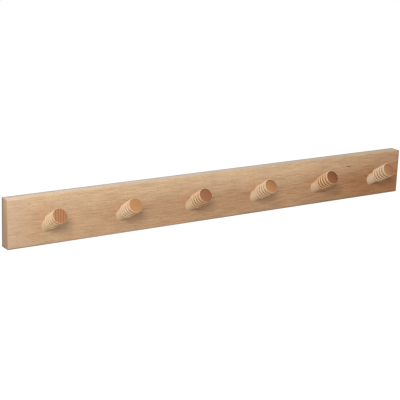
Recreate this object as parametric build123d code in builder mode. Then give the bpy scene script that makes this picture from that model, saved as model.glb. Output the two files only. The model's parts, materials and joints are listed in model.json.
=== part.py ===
from build123d import *

import os
from math import cos, radians, sin

# Wall-hung peg rail in solid beech: a plain board with a row of ribbed, lathe-turned pegs that
# lean upwards, hung on two screws through keyhole plates let into its back.
#
# Sizes are in millimetres. The origin is the centre of the rail's back face, which lies against
# the wall. +X runs along the rail to the right, +Y points into the wall and +Z points up, so the
# pegs stand out towards -Y.

# Rail board
rail_length = 900.0
rail_height = 90.0
rail_thickness = 24.0
rail_edge_round = 1.2

# Pegs: where they stand and how they lean
peg_count = 6
peg_pitch = 150.0
peg_lean = radians(31.0)  # above level
peg_root_z = -9.2  # where each peg's axis meets the rail's front face

# Pegs: the turned shape; grooves and shoulder are measured along the axis from the head's end
peg_length = 78.5
peg_neck_radius = 10.5
peg_ring_radius = 14.0
peg_head_round = 1.4
peg_tenon_chamfer = 1.0
groove_count = 4
groove_pitch = 8.0
groove_radius = 2.1
groove_depth = 2.5
groove_lip_round = 0.9
first_groove_from_end = 8.0
shoulder_from_end = 36.6
shoulder_cove = 4.5

# Peg bores: blind, and a little unequal in depth, so no two pegs stand out quite alike
bore_clearance = 0.05
bore_glue_gap = 0.3
tenon_depths = [18.8, 18.3, 17.8, 17.3, 15.3, 16.8]

# Keyhole hanger plates, one near each end, half way between two pegs
hanger_x = 300.0
hanger_z = 10.0
plate_length = 52.0
plate_width = 18.0
plate_thickness = 2.0
plate_edge_break = 0.3
keyhole_entry_radius = 5.0
keyhole_entry_z = -5.0  # from the plate's centre
keyhole_slot_width = 5.5
keyhole_slot_rise = 8.0
plate_screw_offset = 20.0

# What the rail's back is cut out with to take the plates
recess_length = plate_length + 0.6
recess_width = plate_width + 0.6
pocket_width = 12.0
pocket_depth = 10.0  # from the back face

# Countersunk wood screws that hold the plates
screw_length = 15.0
screw_head_radius = 3.4
screw_head_sink = 0.1
screw_shank_radius = 1.6
screw_thread_radius = 1.75
screw_core_radius = 1.15
screw_thread_pitch = 1.4
screw_thread_count = 6
screw_plain_length = 4.2
cross_length = 3.6
cross_width = 0.8
cross_depth = 1.5
cross_taper = 8.0
plate_hole_radius = 1.9
plate_sink_radius = 3.5
pilot_clearance = 0.05

lean_direction = Vector(0, -cos(peg_lean), sin(peg_lean))
peg_places = [(number - (peg_count - 1) / 2) * peg_pitch for number in range(peg_count)]
hanger_places = {"left": -hanger_x, "right": hanger_x}
plate_screw_places = {"upper": plate_screw_offset, "lower": -plate_screw_offset}

os.makedirs("parts", exist_ok=True)


def bore_plane(x):
    """The plane square to a peg's axis, where that axis meets the rail's front face."""
    return Plane(origin=(x, -rail_thickness, peg_root_z), x_dir=(1, 0, 0), z_dir=lean_direction)


def peg_profile_plane(x, tenon_depth):
    """The plane through a peg's axis, with its origin at the tenon's end and +Y along the peg."""
    tenon_end = bore_plane(x).offset(-tenon_depth).origin
    return Plane(origin=tenon_end, x_dir=(1, 0, 0), z_dir=Vector(1, 0, 0).cross(lean_direction))


def back_plane(x, z):
    """A plane in the rail's back face that looks out towards the wall, with its +Y upwards."""
    return Plane(origin=(x, 0, z), x_dir=(-1, 0, 0), z_dir=(0, 1, 0))


# --- Rail: the board, eased on every edge, bored at an angle for the pegs -----------------------

with BuildPart() as rail:
    with Locations((0, -rail_thickness / 2, 0)):
        Box(rail_length, rail_thickness, rail_height)
    fillet(rail.edges(), rail_edge_round)

    for peg_x, tenon_depth in zip(peg_places, tenon_depths):
        bore_depth = tenon_depth + bore_glue_gap
        with BuildSketch(bore_plane(peg_x).offset(-bore_depth)):
            Circle(peg_neck_radius + bore_clearance)
        extrude(amount=bore_depth + peg_neck_radius, mode=Mode.SUBTRACT)

    for plate_x in hanger_places.values():
        with BuildSketch(back_plane(plate_x, hanger_z)):
            SlotOverall(recess_length, recess_width, rotation=90)
        extrude(amount=-plate_thickness, mode=Mode.SUBTRACT)

        pocket_z = hanger_z + keyhole_entry_z + keyhole_slot_rise / 2
        with BuildSketch(back_plane(plate_x, pocket_z)):
            SlotCenterToCenter(keyhole_slot_rise, pocket_width, rotation=90)
        extrude(amount=-pocket_depth, mode=Mode.SUBTRACT)

        with BuildSketch(back_plane(plate_x, hanger_z)):
            with Locations((0, plate_screw_offset), (0, -plate_screw_offset)):
                Circle(screw_thread_radius + pilot_clearance)
        extrude(amount=-(screw_length + screw_head_sink), mode=Mode.SUBTRACT)

rail.part.label = "rail"
export_step(rail.part, "parts/rail.step")


# --- Pegs: turned on a lathe, with a plain neck and four grooves behind the head ----------------

neck_end = (peg_neck_radius, peg_length - shoulder_from_end - shoulder_cove)
shoulder = (peg_ring_radius, peg_length - shoulder_from_end)
groove_centre_radius = peg_ring_radius - groove_depth + groove_radius
groove_centres = [
    (groove_centre_radius, peg_length - first_groove_from_end - number * groove_pitch)
    for number in range(groove_count)
]

for number, (peg_x, tenon_depth) in enumerate(zip(peg_places, tenon_depths), start=1):
    profile_plane = peg_profile_plane(peg_x, tenon_depth)

    with BuildPart() as peg:
        with BuildSketch(profile_plane) as outline:
            with BuildLine():
                Polyline(
                    (0, peg_length),
                    (0, 0),
                    (peg_neck_radius - peg_tenon_chamfer, 0),
                    (peg_neck_radius, peg_tenon_chamfer),
                    neck_end,
                )
                TangentArc(neck_end, shoulder, tangent=(0, 1))
                Polyline(shoulder, (peg_ring_radius, peg_length), (0, peg_length))
            make_face()
            with Locations(*groove_centres):
                Circle(groove_radius, mode=Mode.SUBTRACT)
            corners = outline.vertices().group_by(Axis.X)[-1].sort_by(Axis.Y)
            fillet(corners[:-1], groove_lip_round)
            fillet(outline.vertices().group_by(Axis.X)[-1].sort_by(Axis.Y)[-1], peg_head_round)
        revolve(axis=Axis(profile_plane.origin, profile_plane.y_dir))

    peg.part.label = f"peg_{number}"
    export_step(peg.part, f"parts/peg_{number}.step")


# --- Keyhole hanger plates: pressed steel, flush with the rail's back ---------------------------

for side, plate_x in hanger_places.items():
    with BuildPart() as hanger_plate:
        with BuildSketch(back_plane(plate_x, hanger_z).offset(-plate_thickness)):
            SlotOverall(plate_length, plate_width, rotation=90)
            with Locations((0, keyhole_entry_z)):
                Circle(keyhole_entry_radius, mode=Mode.SUBTRACT)
            with Locations((0, keyhole_entry_z + keyhole_slot_rise / 2)):
                SlotCenterToCenter(
                    keyhole_slot_rise, keyhole_slot_width, rotation=90, mode=Mode.SUBTRACT
                )
        extrude(amount=plate_thickness)
        back_edges = hanger_plate.faces().sort_by(Axis.Y)[-1].outer_wire().edges()
        chamfer(back_edges, plate_edge_break)

        with Locations(back_plane(plate_x, hanger_z)):
            with Locations((0, plate_screw_offset), (0, -plate_screw_offset)):
                CounterSinkHole(plate_hole_radius, plate_sink_radius, counter_sink_angle=90)

    hanger_plate.part.label = f"hanger_plate_{side}"
    export_step(hanger_plate.part, f"parts/hanger_plate_{side}.step")


# --- Plate screws: countersunk wood screws with a cross recess ----------------------------------

thread_start = screw_plain_length
thread_end = thread_start + screw_thread_count * screw_thread_pitch
thread_points = []
for turn in range(screw_thread_count):
    turn_start = thread_start + turn * screw_thread_pitch
    thread_points.append((screw_core_radius, -turn_start))
    thread_points.append((screw_thread_radius, -(turn_start + screw_thread_pitch / 2)))
thread_points.append((screw_core_radius, -thread_end))

for side, plate_x in hanger_places.items():
    for level, screw_offset in plate_screw_places.items():
        screw_z = hanger_z + screw_offset
        profile_plane = Plane(origin=(plate_x, -screw_head_sink, screw_z))

        with BuildPart() as hanger_screw:
            with BuildSketch(profile_plane):
                with BuildLine():
                    Polyline(
                        (0, 0),
                        (screw_head_radius, 0),
                        (screw_shank_radius, -(screw_head_radius - screw_shank_radius)),
                        (screw_shank_radius, -thread_start),
                        *thread_points,
                        (0, -screw_length),
                        (0, 0),
                    )
                make_face()
            revolve(axis=Axis(profile_plane.origin, profile_plane.y_dir))

            with BuildSketch(back_plane(plate_x, screw_z).offset(-screw_head_sink)):
                Rectangle(cross_length, cross_width)
                Rectangle(cross_width, cross_length)
            extrude(amount=-cross_depth, taper=cross_taper, mode=Mode.SUBTRACT)

        hanger_screw.part.label = f"hanger_screw_{side}_{level}"
        export_step(hanger_screw.part, f"parts/hanger_screw_{side}_{level}.step")
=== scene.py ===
import json
from math import pi, radians

import bpy
from mathutils import Euler, Matrix, Vector


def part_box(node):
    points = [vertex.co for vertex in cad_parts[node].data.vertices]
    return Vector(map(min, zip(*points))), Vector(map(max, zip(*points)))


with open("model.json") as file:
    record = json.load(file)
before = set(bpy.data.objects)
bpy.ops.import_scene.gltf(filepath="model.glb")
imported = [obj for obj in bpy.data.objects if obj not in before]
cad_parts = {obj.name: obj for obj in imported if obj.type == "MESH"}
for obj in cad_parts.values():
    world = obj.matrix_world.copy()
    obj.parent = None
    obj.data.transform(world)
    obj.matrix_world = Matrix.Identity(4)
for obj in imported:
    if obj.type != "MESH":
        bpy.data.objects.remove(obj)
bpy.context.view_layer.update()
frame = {"nodes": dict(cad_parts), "record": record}


# --- Rail ---------------------------------------------------------------------------------------
# The board is solid beech, sawn so that the growth rings cross it at a slant. It is planed, its
# arrises are just broken, and it is sanded along the grain and oiled, which leaves a low sheen.

MM = 0.001  # sizes are written in millimetres times this, so that Blender gets metres
BLACK = [0.0, 0.0, 0.0, 1.0]
WHITE = [1.0, 1.0, 1.0, 1.0]

# Settings that many nodes share: a Map Range that eases in and out, and a Mix of two colours, one
# laid over the other or tinting it. The last line holds the colour sockets of that Mix node.
EASED = {"interpolation_type": "SMOOTHSTEP"}
LAID_ON = {"data_type": "RGBA", "blend_type": "MIX"}
TINTED = {"data_type": "RGBA", "blend_type": "MULTIPLY"}
SHARE, UNDER, OVER, RESULT = 0, 6, 7, 2


def linear(hex_colour):
    """An sRGB colour such as "#C8A27E" as the linear RGBA that a shader socket takes."""
    channels = [int(hex_colour[i:i + 2], 16) / 255 for i in (1, 3, 5)]
    return [c / 12.92 if c <= 0.04045 else ((c + 0.055) / 1.055) ** 2.4 for c in channels] + [1.0]


def add_node(tree, kind, settings=None, inputs=(), stops=()):
    """Adds a node with its settings and links, and returns its outputs.

    The inputs go by name or number, or are a list in the node's own order. Each is a value, or
    another node's output, which is linked. The stops fill a colour ramp.
    """
    node = tree.nodes.new("ShaderNode" + kind)
    for name, value in (settings or {}).items():
        setattr(node, name, value)
    for name, value in inputs.items() if isinstance(inputs, dict) else enumerate(inputs):
        if isinstance(value, bpy.types.NodeSocket):
            tree.links.new(value, node.inputs[name])
        else:
            node.inputs[name].default_value = value
    for number, (position, colour) in enumerate(stops):
        elements = node.color_ramp.elements
        element = elements[number] if number < 2 else elements.new(position)
        element.position, element.color = position, colour
    return node.outputs


def new_material(name):
    """A material with an empty node tree, and that tree."""
    material = bpy.data.materials.new(name)
    material.use_nodes = True
    material.node_tree.nodes.clear()
    return material, material.node_tree


def paint(node_name, material):
    """Gives a CAD node its material."""
    for slot in frame["nodes"][node_name].material_slots:
        slot.link = "DATA"
        slot.material = material


def beech(tree, piece, origin, turn, pith, ring_width, light, dark, end_light, end_dark,
          end_stripes, end_fall):
    """Beech as a solid, so that the same rings, streaks and ray flecks run through every face.

    Each numbered piece of wood has streaks of its own. origin and turn place the grain's own
    frame, whose X runs along the grain, and pith is where the tree's middle lies across it. The
    light and dark colours show along the grain, and the end colours where it is cut across, with
    stripes for the rings and a fall, over each metre, to a darker tone towards the pith. Returns
    the two colours, how far the surface is cut across the grain, the streaks, and the place in
    that frame.
    """
    coordinates = add_node(tree, "TexCoord")
    grain = add_node(tree, "Mapping", {"vector_type": "TEXTURE"}, {
        "Vector": coordinates["Object"], "Location": origin, "Rotation": turn,
    })["Vector"]

    # Growth rings about the pith, which waver a little on their way round and hardly change along
    # the grain. The late wood of each year is darker.
    wave_length = pi / 10  # that of a wave texture at a scale of 1
    around_pith = add_node(tree, "Mapping", {"vector_type": "POINT"}, {
        "Vector": grain,
        "Location": (0.0, -pith[0], -pith[1]),
        "Scale": (0.04, 1.0, 1.0),
    })["Vector"]
    rings = add_node(tree, "TexWave", {
        "wave_type": "RINGS", "rings_direction": "X", "wave_profile": "SAW",
    }, {
        "Vector": around_pith,
        "Scale": wave_length / ring_width,
        "Distortion": 1.6,
        "Detail": 2.0,
        "Detail Scale": 0.6,
    })["Fac"]
    latewood = add_node(tree, "ValToRGB", inputs=[rings], stops=[
        (0.0, WHITE), (0.15, BLACK), (0.4, BLACK), (1.0, WHITE),
    ])["Color"]

    # Noise that is drawn out along the grain, with the length and width of what it stands for:
    # streaks, patches and ray flecks. Beech's pores are under 0.1 mm wide, so they are drawn as
    # streaks of 2 mm. The dark spindle-shaped ray flecks that mark beech are 2 to 4 mm long and
    # under half a millimetre wide, and are drawn twice that size. Finer ones would not show.
    elsewhere = 11.0 * piece  # each piece is cut from another place in the noise
    patterns = []
    for length, width, detail, offset in (
        (38 * MM, 2.0 * MM, 4.0, 0.0),
        (170 * MM, 20 * MM, 2.0, 7.3),
        (7.5 * MM, 1.0 * MM, 1.0, 3.1),
    ):
        drawn_out = add_node(tree, "Mapping", {"vector_type": "POINT"}, {
            "Vector": grain,
            "Location": (offset + elsewhere, offset, offset),
            "Scale": (1 / length, 1 / width, 1 / width),
        })["Vector"]
        patterns.append(add_node(tree, "TexNoise", inputs={
            "Vector": drawn_out, "Scale": 1.0, "Detail": detail, "Roughness": 0.6,
        })["Fac"])
    streaks, patches, fleck_noise = patterns
    flecks = add_node(tree, "MapRange", EASED, [fleck_noise, 0.56, 0.70])[0]

    # Each pattern deepens the colour by its own weight.
    depth = -0.75
    for pattern, weight in ((streaks, 1.7), (patches, 0.6), (latewood, 0.2), (flecks, 0.5)):
        depth = add_node(tree, "Math", {"operation": "MULTIPLY_ADD"}, [pattern, weight, depth])[0]
    side = add_node(tree, "Mix", LAID_ON, {
        SHARE: depth, UNDER: linear(light), OVER: linear(dark),
    })[RESULT]

    # Across the grain the rings stand out as stripes, and the wood drinks more oil.
    to_pith = add_node(tree, "VectorMath", {"operation": "DOT_PRODUCT"}, [
        grain, Vector((0.0, *pith)).normalized(),
    ])["Value"]
    depth = 0.15
    for pattern, weight in ((to_pith, end_fall), (latewood, end_stripes), (fleck_noise, 0.4)):
        depth = add_node(tree, "Math", {"operation": "MULTIPLY_ADD"}, [pattern, weight, depth])[0]
    end = add_node(tree, "Mix", LAID_ON, {
        SHARE: depth, UNDER: linear(end_light), OVER: linear(end_dark),
    })[RESULT]
    facing_along = add_node(tree, "VectorMath", {"operation": "DOT_PRODUCT"}, [
        coordinates["Normal"], Euler(turn).to_matrix() @ Vector((1, 0, 0)),
    ])["Value"]
    facing_along = add_node(tree, "Math", {"operation": "ABSOLUTE"}, [facing_along])[0]
    end_share = add_node(tree, "MapRange", EASED, [facing_along, 0.35, 0.8])[0]
    place = add_node(tree, "SeparateXYZ", inputs=[grain])
    return side, end, end_share, streaks, place


def oil_finish(tree, colour, streaks):
    """A thin matt oil finish on sanded wood: a low sheen, and pores left just open."""
    roughness = add_node(tree, "MapRange", inputs=[streaks, 0.3, 0.7, 0.54, 0.66])[0]
    bump = add_node(tree, "Bump", inputs={
        "Height": streaks, "Strength": 0.5, "Distance": 0.06 * MM,
    })["Normal"]
    shader = add_node(tree, "BsdfPrincipled", inputs={
        "Base Color": colour, "Roughness": roughness, "IOR": 1.5, "Specular IOR Level": 0.15,
        "Normal": bump,
    })["BSDF"]
    add_node(tree, "OutputMaterial", inputs={"Surface": shader})


# Planed beech under oil looks a warm light brown, finely streaked along its length.
beech_board, tree = new_material("oiled_beech_board")
side, end, end_share, streaks, place = beech(
    tree,
    piece=0,
    origin=(0.0, 0.0, 0.0),
    turn=(0.0, radians(0.6), 0.0),  # the grain runs down a little to the right
    pith=(30 * MM, -100 * MM),
    ring_width=2.8 * MM,
    light="#E2C19B",
    dark="#B49374",
    end_light="#E5BB8F",
    end_dark="#A37F5B",
    end_stripes=0.35,
    end_fall=5.0,
)
colour = add_node(tree, "Mix", LAID_ON, {SHARE: end_share, UNDER: side, OVER: end})[RESULT]

# How far along the board a point is, from 0 at its left end to 1 at its right end, where it is
# across it, and how squarely its surface faces each way.
rail_low, rail_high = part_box("rail")
along = add_node(tree, "MapRange", inputs=[place["X"], rail_low[0], rail_high[0]])[0]
coordinates = add_node(tree, "TexCoord")
on_board = add_node(tree, "SeparateXYZ", inputs=[coordinates["Object"]])
facing = add_node(tree, "VectorMath", {"operation": "ABSOLUTE"}, [coordinates["Normal"]])[0]
facing = add_node(tree, "SeparateXYZ", inputs=[facing])
on_edges = add_node(tree, "MapRange", EASED, [facing["Z"], 0.5, 0.9])[0]

# The board was sawn at the edge of the tree's heart, which shows as a redder, darker tone along
# its lower part and spreads up to the top at the right end, less on the long edges. The streaks
# are browner there.
heart_below = 0.3
for starts, ends, rise in ((0.0, 0.55, 0.26), (0.65, 0.95, 0.44)):
    more = add_node(tree, "MapRange", EASED, [along, starts, ends, 0.0, rise])[0]
    heart_below = add_node(tree, "Math", {"operation": "ADD"}, [more, heart_below])[0]
heart_above = add_node(tree, "MapRange", EASED, [along, 0.58, 1.15, 0.0, 0.72])[0]
downwards = add_node(tree, "MapRange", EASED, [place["Z"], 38 * MM, -8 * MM])[0]
difference = add_node(tree, "Math", {"operation": "SUBTRACT"}, [heart_below, heart_above])[0]
heart_share = add_node(tree, "Math", {"operation": "MULTIPLY_ADD"}, [
    difference, downwards, heart_above,
])[0]
less = add_node(tree, "Math", {"operation": "MULTIPLY_ADD"}, [on_edges, -0.6, 1.0])[0]
heart_share = add_node(tree, "Math", {"operation": "MULTIPLY"}, [heart_share, less])[0]
colour = add_node(tree, "Mix", TINTED, {
    SHARE: heart_share, UNDER: colour, OVER: linear("#C6A890"),
})[RESULT]
vein_strength = add_node(tree, "MapRange", EASED, [along, 0.55, 0.8, 0.26, 0.66])[0]
veins = add_node(tree, "MapRange", EASED, [streaks, 0.50, 0.64, 0.0, vein_strength])[0]
veins = add_node(tree, "Math", {"operation": "MULTIPLY"}, [heart_share, veins])[0]
colour = add_node(tree, "Mix", LAID_ON, {
    SHARE: veins, UNDER: colour, OVER: linear("#8A6446"),
})[RESULT]

# Painted light: the faces beside its left end are painted a little paler, as a pool of light.
painted_light_left_end = add_node(tree, "MapRange", EASED, [along, 0.07, 0.0, 0.0, 0.16])[0]
beside_end = add_node(tree, "MapRange", EASED, [facing["X"], 0.8, 0.3])[0]
painted_light_left_end = add_node(tree, "Math", {"operation": "MULTIPLY"}, [painted_light_left_end, beside_end])[0]
colour = add_node(tree, "Mix", LAID_ON, {
    SHARE: painted_light_left_end, UNDER: colour, OVER: linear("#EED9C7"),
})[RESULT]

# Painted shade: the long edges are greyed darker away from the left end, as less light reaches
# them there.
painted_shade_on_edges = add_node(tree, "MapRange", EASED, [along, 0.05, 0.4, 0.0, 0.4])[0]
painted_shade_on_edges = add_node(tree, "Math", {"operation": "MULTIPLY"}, [on_edges, painted_shade_on_edges])[0]
colour = add_node(tree, "Mix", TINTED, {
    SHARE: painted_shade_on_edges, UNDER: colour, OVER: linear("#BCBCBC"),
})[RESULT]

# They and, more strongly, the ends turn greyer towards the wall.
greyed = add_node(tree, "Math", {"operation": "MULTIPLY_ADD"}, [end_share, 0.3, 0.45])[0]
off_faces = add_node(tree, "MapRange", EASED, [facing["Y"], 0.8, 0.3])[0]
to_wall = add_node(tree, "MapRange", EASED, [place["Y"], -26 * MM, -6 * MM])[0]
for part in (off_faces, to_wall):
    greyed = add_node(tree, "Math", {"operation": "MULTIPLY"}, [greyed, part])[0]
grey = add_node(tree, "Mix", LAID_ON, {
    SHARE: end_share, UNDER: linear("#B3A997"), OVER: linear("#A0927F"),
})[RESULT]
colour = add_node(tree, "Mix", LAID_ON, {SHARE: greyed, UNDER: colour, OVER: grey})[RESULT]

# A small pin knot near the right end has pulled the grain into one short dark streak.
KNOT_PLACE = (312 * MM, 27 * MM)
KNOT_LENGTH, KNOT_HEIGHT = 11 * MM, 1.6 * MM  # from its middle
on_face = add_node(tree, "CombineXYZ", inputs={"X": place["X"], "Y": place["Z"]})["Vector"]
from_knot = add_node(tree, "Mapping", {"vector_type": "TEXTURE"}, {
    "Vector": on_face,
    "Location": (*KNOT_PLACE, 0.0),
    "Rotation": (0.0, 0.0, radians(-9)),
    "Scale": (KNOT_LENGTH, KNOT_HEIGHT, 1.0),
})["Vector"]
from_knot = add_node(tree, "VectorMath", {"operation": "LENGTH"}, [from_knot])["Value"]
knot = add_node(tree, "MapRange", EASED, [from_knot, 1.0, 0.2, 0.0, 0.85])[0]
colour = add_node(tree, "Mix", LAID_ON, {
    SHARE: knot, UNDER: colour, OVER: linear("#64422A"),
})[RESULT]

# Painted shade: the arrises at the right, along the wall and at the bottom, which face away from
# the light, are darkened, the bottom one most of all towards the ends.
arris_shade_left = add_node(tree, "MapRange", EASED, [along, 0.22, 0.06, 0.25, 0.85])[0]
arris_shade_right = add_node(tree, "MapRange", EASED, [along, 0.3, 0.8, 0.0, 0.7])[0]
bottom_arris_shade = add_node(tree, "Math", {"operation": "ADD"}, [arris_shade_left, arris_shade_right])[0]
for axis, shade_starts, shade_full, most in (
    ("X", rail_high[0] - 4.5 * MM, rail_high[0], 0.85),
    ("Y", rail_high[1] - 7.5 * MM, rail_high[1] - 1.0 * MM, 0.75),
    ("Z", rail_low[2] + 3.8 * MM, rail_low[2], bottom_arris_shade),
):
    near_edge = add_node(tree, "MapRange", EASED, [on_board[axis], shade_starts, shade_full])[0]
    beside_it = add_node(tree, "MapRange", EASED, [facing[axis], 0.98, 0.9, 0.0, most])[0]
    painted_arris_shade = add_node(tree, "Math", {"operation": "MULTIPLY"}, [near_edge, beside_it])[0]
    colour = add_node(tree, "Mix", LAID_ON, {
        SHARE: painted_arris_shade, UNDER: colour, OVER: linear("#66523E"),
    })[RESULT]

oil_finish(tree, colour, streaks)
paint("rail", beech_board)


# --- Pegs ---------------------------------------------------------------------------------------
# Each peg is turned from a beech dowel, with a plain neck, a shoulder and four grooves behind the
# head. It is glued into its angled bore, and its head shows end grain, which the oil turns darker.

PEG_RING_RADIUS = 14.0 * MM
PEG_HEAD_ROUND = 1.4 * MM
PEG_RIM_RADIUS = PEG_RING_RADIUS - PEG_HEAD_ROUND  # the flat of the head ends here
GROOVE_DEPTH = 2.5 * MM

mounts = {mount["name"]: mount for mount in frame["record"]["mounts"]}

# Each peg's wood along the grain, light and dark, and the brown of oil and painted shade in its
# grooves. Then its head's end grain: light and dark, how strong its stripes are, how much painted
# shade darkens its upper edge, where its pith lay across the peg and up from it, and how fast the
# wood darkens towards the pith, which also paints the shade across the head.
PEG_WOODS = [
    (("#E9CDAB", "#CDAB86"), 0.65, ("#BA8860", "#8A5636"), 0.6, 0.0, (117 * MM, -30 * MM), 6.0),
    (("#EDD1AE", "#D0AD87"), 0.65, ("#BC8D5F", "#9A683C"), 0.3, 0.0, (50 * MM, 40 * MM), 12.0),
    (("#E5C59F", "#C69F76"), 1.0, ("#A87452", "#744028"), 0.5, 0.25, (70 * MM, 60 * MM), 10.0),
    (("#ECD0AE", "#CFAC87"), 0.65, ("#B8875B", "#804F2A"), 0.3, 0.4, (40 * MM, 40 * MM), 22.0),
    (("#E5BD92", "#C39568"), 1.0, ("#976340", "#5B311C"), 0.4, 0.4, (40 * MM, 30 * MM), 18.0),
    (("#EBD0AF", "#CDAB87"), 0.75, ("#AD805B", "#794C30"), 0.3, 0.3, (60 * MM, 10 * MM), 18.0),
]
for number, peg_wood in enumerate(PEG_WOODS, start=1):
    (light, dark), groove_oil_and_shade_strength, (end_light, end_dark), stripes, upper_rim_shade, pith, end_fall = peg_wood

    # The grain's frame starts at the middle of the head, with X along the peg and Z up across it.
    ribs = mounts[f"peg_{number}_rings"]
    ribbed_length = ribs["dims"]["length_mm"] * MM
    peg_axis = Vector(ribs["axis"])
    head_end = Vector(ribs["pos_m"]) + peg_axis * (ribbed_length / 2 + PEG_HEAD_ROUND)
    across = Vector((1, 0, 0))
    peg_frame = Matrix((peg_axis, across, peg_axis.cross(across))).transposed()

    # Turned beech under oil looks paler than the board along the peg, and red brown on its head.
    beech_peg, tree = new_material(f"oiled_beech_peg_{number}")
    side, end, end_share, streaks, place = beech(
        tree,
        piece=number,
        origin=head_end,
        turn=peg_frame.to_euler(),
        pith=pith,
        ring_width=5.0 * MM,  # about twice the real width, because finer rings would not show
        light=light,
        dark=dark,
        end_light=end_light,
        end_dark=end_dark,
        end_stripes=stripes,
        # On the heads the fall towards the pith is partly the darker heart and partly painted
        # shade.
        end_fall=end_fall,
    )
    off_axis = add_node(tree, "CombineXYZ", inputs={"Y": place["Y"], "Z": place["Z"]})["Vector"]
    off_axis = add_node(tree, "VectorMath", {"operation": "LENGTH"}, [off_axis])["Value"]

    # Painted shade: the pegs' undersides are tinted a little browner and darker.
    painted_underside_shade = add_node(tree, "MapRange", EASED, [place["Z"], -2 * MM, -11 * MM, 0.0, 0.6])[0]
    side = add_node(tree, "Mix", TINTED, {
        SHARE: painted_underside_shade, UNDER: side, OVER: linear("#EDDFCE"),
    })[RESULT]

    # Painted shade: the end grain is darkened along the head's upper edge.
    at_rim = add_node(tree, "MapRange", EASED, [
        off_axis, 0.7 * PEG_RIM_RADIUS, PEG_RIM_RADIUS,
    ])[0]
    painted_rim_shade = add_node(tree, "MapRange", EASED, [place["Z"], 0.0, PEG_RIM_RADIUS, 0.0, upper_rim_shade])[0]
    painted_rim_shade = add_node(tree, "Math", {"operation": "MULTIPLY"}, [at_rim, painted_rim_shade])[0]
    end = add_node(tree, "Mix", LAID_ON, {
        SHARE: painted_rim_shade, UNDER: end, OVER: linear("#5A3A22"),
    })[RESULT]

    # Only the head drinks its fill: its rim and the grooves' walls are burnished by the tool, and
    # the rim, left in the paler side colour, also paints a highlight round the head.
    on_head = add_node(tree, "MapRange", EASED, [
        place["X"], -2 * PEG_HEAD_ROUND, -PEG_HEAD_ROUND,
    ])[0]
    on_flat = add_node(tree, "MapRange", EASED, [
        off_axis, PEG_RIM_RADIUS + 1.0 * MM, PEG_RIM_RADIUS + 0.2 * MM,
    ])[0]
    head_share = add_node(tree, "Math", {"operation": "MULTIPLY"}, [on_head, on_flat])[0]
    head_share = add_node(tree, "Math", {"operation": "MULTIPLY"}, [head_share, end_share])[0]
    colour = add_node(tree, "Mix", LAID_ON, {SHARE: head_share, UNDER: side, OVER: end})[RESULT]

    # Painted light: the neck is painted paler, as if lit past the ribs and head.
    painted_neck_light = add_node(tree, "MapRange", EASED, [
        place["X"], -ribbed_length, -ribbed_length - 6 * MM, 0.0, 0.4,
    ])[0]
    colour = add_node(tree, "Mix", LAID_ON, {
        SHARE: painted_neck_light, UNDER: colour, OVER: linear("#F2DDBE"),
    })[RESULT]

    # Oil pools in the bottoms of the grooves and turns them brown, and the brown also paints the
    # shade that falls in them.
    groove_oil_and_shade = add_node(tree, "MapRange", EASED, [
        off_axis,
        PEG_RING_RADIUS - 0.5 * GROOVE_DEPTH,
        PEG_RING_RADIUS - 0.85 * GROOVE_DEPTH,
        0.0,
        groove_oil_and_shade_strength,
    ])[0]
    in_ribs = add_node(tree, "MapRange", EASED, [
        place["X"], -ribbed_length - 1 * MM, -ribbed_length + 2 * MM,
    ])[0]
    off_head = add_node(tree, "Math", {"operation": "SUBTRACT"}, [1.0, on_head])[0]
    for part in (in_ribs, off_head):
        groove_oil_and_shade = add_node(tree, "Math", {"operation": "MULTIPLY"}, [groove_oil_and_shade, part])[0]
    colour = add_node(tree, "Mix", LAID_ON, {
        SHARE: groove_oil_and_shade, UNDER: colour, OVER: linear("#5C3716"),
    })[RESULT]

    oil_finish(tree, colour, streaks)
    paint(f"peg_{number}", beech_peg)


# --- Keyhole plates -----------------------------------------------------------------------------
# Two hanger plates are pressed from 2 mm steel strip and zinc plated. Each is let in flush with
# the board's back, over a pocket for the head of the wall screw, and held by two screws.

def zinc_plated(name, colour, roughness_low, roughness_high):
    """Bright zinc on steel: silver grey with faint clouds a few mm wide, rougher in patches."""
    material, tree = new_material(name)
    coordinates = add_node(tree, "TexCoord")["Object"]
    clouds = add_node(tree, "TexNoise", inputs={
        "Vector": coordinates, "Scale": 1 / (4 * MM), "Detail": 2.0,
    })["Fac"]
    cloudy = [0.82 * channel for channel in linear(colour)[:3]] + [1.0]
    tone = add_node(tree, "ValToRGB", inputs=[clouds], stops=[
        (0.35, cloudy), (0.65, linear(colour)),
    ])["Color"]
    roughness = add_node(tree, "MapRange", inputs=[
        clouds, 0.3, 0.7, roughness_low, roughness_high,
    ])[0]
    bump = add_node(tree, "Bump", inputs={
        "Height": clouds, "Strength": 0.2, "Distance": 0.03 * MM,
    })["Normal"]
    shader = add_node(tree, "BsdfPrincipled", inputs={
        "Base Color": tone, "Metallic": 1.0, "Roughness": roughness, "Normal": bump,
    })["BSDF"]
    add_node(tree, "OutputMaterial", inputs={"Surface": shader})
    return material


zinc_plate = zinc_plated("zinc_plated_strip", "#D2D5D8", 0.30, 0.46)
for side in ("left", "right"):
    paint(f"hanger_plate_{side}", zinc_plate)


# --- Plate screws -------------------------------------------------------------------------------
# Four countersunk steel wood screws with a cross recess hold the plates, their heads a hair below
# the back. They are zinc plated too, smoother and a little warmer in tone than the strip.

zinc_screw = zinc_plated("zinc_plated_screw", "#D8D6CE", 0.24, 0.36)
for side in ("left", "right"):
    for level in ("upper", "lower"):
        paint(f"hanger_screw_{side}_{level}", zinc_screw)


# --- Stage --------------------------------------------------------------------------------------
# A pale floor 1.6 m below the rail, as under a rail on a wall, and even light from all round, with
# one big soft lamp to the upper left and a weak one behind.

FLOOR_DROP = 1.6
FLOOR_GLOW = 0.78  # what the camera sees on top of the lit floor, which brings it up to white
bpy.ops.object.select_all(action="DESELECT")
bpy.ops.mesh.primitive_plane_add(size=12.0, location=(0.0, 0.0, -FLOOR_DROP))
floor = bpy.context.object
floor.name = "floor"

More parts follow.
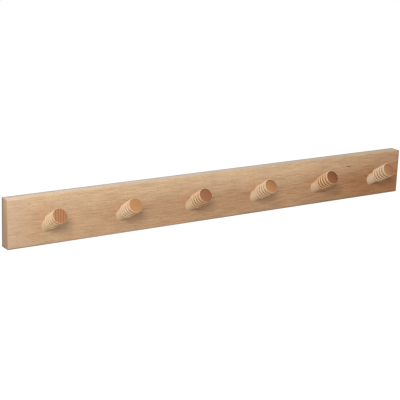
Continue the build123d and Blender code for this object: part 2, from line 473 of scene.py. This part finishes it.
pale_floor, tree = new_material("pale_floor")
seen = add_node(tree, "LightPath")["Is Camera Ray"]
glow = add_node(tree, "Math", {"operation": "MULTIPLY"}, [seen, FLOOR_GLOW])[0]
shader = add_node(tree, "BsdfPrincipled", inputs={
    "Base Color": linear("#8C8B88"), "Roughness": 0.9,
    "Emission Color": WHITE, "Emission Strength": glow,
})["BSDF"]
add_node(tree, "OutputMaterial", inputs={"Surface": shader})
floor.data.materials.append(pale_floor)

# The surround is white where it is seen, and a little dimmer as light.
AMBIENT = 0.8
world = bpy.data.worlds.new("white_surround")
bpy.context.scene.world = world
world.use_nodes = True
tree = world.node_tree
tree.nodes.clear()
light_path = add_node(tree, "LightPath")
seen = light_path["Is Camera Ray"]
for ray in ("Is Glossy Ray", "Is Transmission Ray"):
    seen = add_node(tree, "Math", {"operation": "MAXIMUM"}, [seen, light_path[ray]])[0]
ambient = add_node(tree, "Background", inputs={"Color": WHITE, "Strength": AMBIENT})[0]
backdrop = add_node(tree, "Background", inputs={"Color": WHITE, "Strength": 1.0})[0]
surround = add_node(tree, "MixShader", inputs=[seen, ambient, backdrop])[0]
add_node(tree, "OutputWorld", inputs={"Surface": surround})

LAMP_SIZE = 1.0
for name, lamp_place, watts in (
    ("key_lamp", (-2.05, -2.62, 1.62), 76.0),
    ("back_lamp", (0.8, 1.8, 0.6), 10.0),
):
    lamp = bpy.data.objects.new(name, bpy.data.lights.new(name, "AREA"))
    lamp.data.shape = "DISK"
    lamp.data.size = LAMP_SIZE
    lamp.data.energy = watts
    lamp.location = lamp_place
    towards_rail = -Vector(lamp_place)
    lamp.rotation_euler = towards_rail.to_track_quat("-Z", "Y").to_euler()
    lamp.visible_camera = False
    bpy.context.scene.collection.objects.link(lamp)

camera = bpy.data.objects.new("camera", bpy.data.cameras.new("camera"))
camera.location = (-1.26275, -1.83068, 0.60365)
camera.rotation_euler = (radians(74.4016), radians(-2.0806), radians(-33.2225))
camera.data.lens = 106.81
camera.data.sensor_width = 36.0
bpy.context.scene.collection.objects.link(camera)
bpy.context.scene.camera = camera

bpy.context.scene.view_settings.view_transform = "Standard"
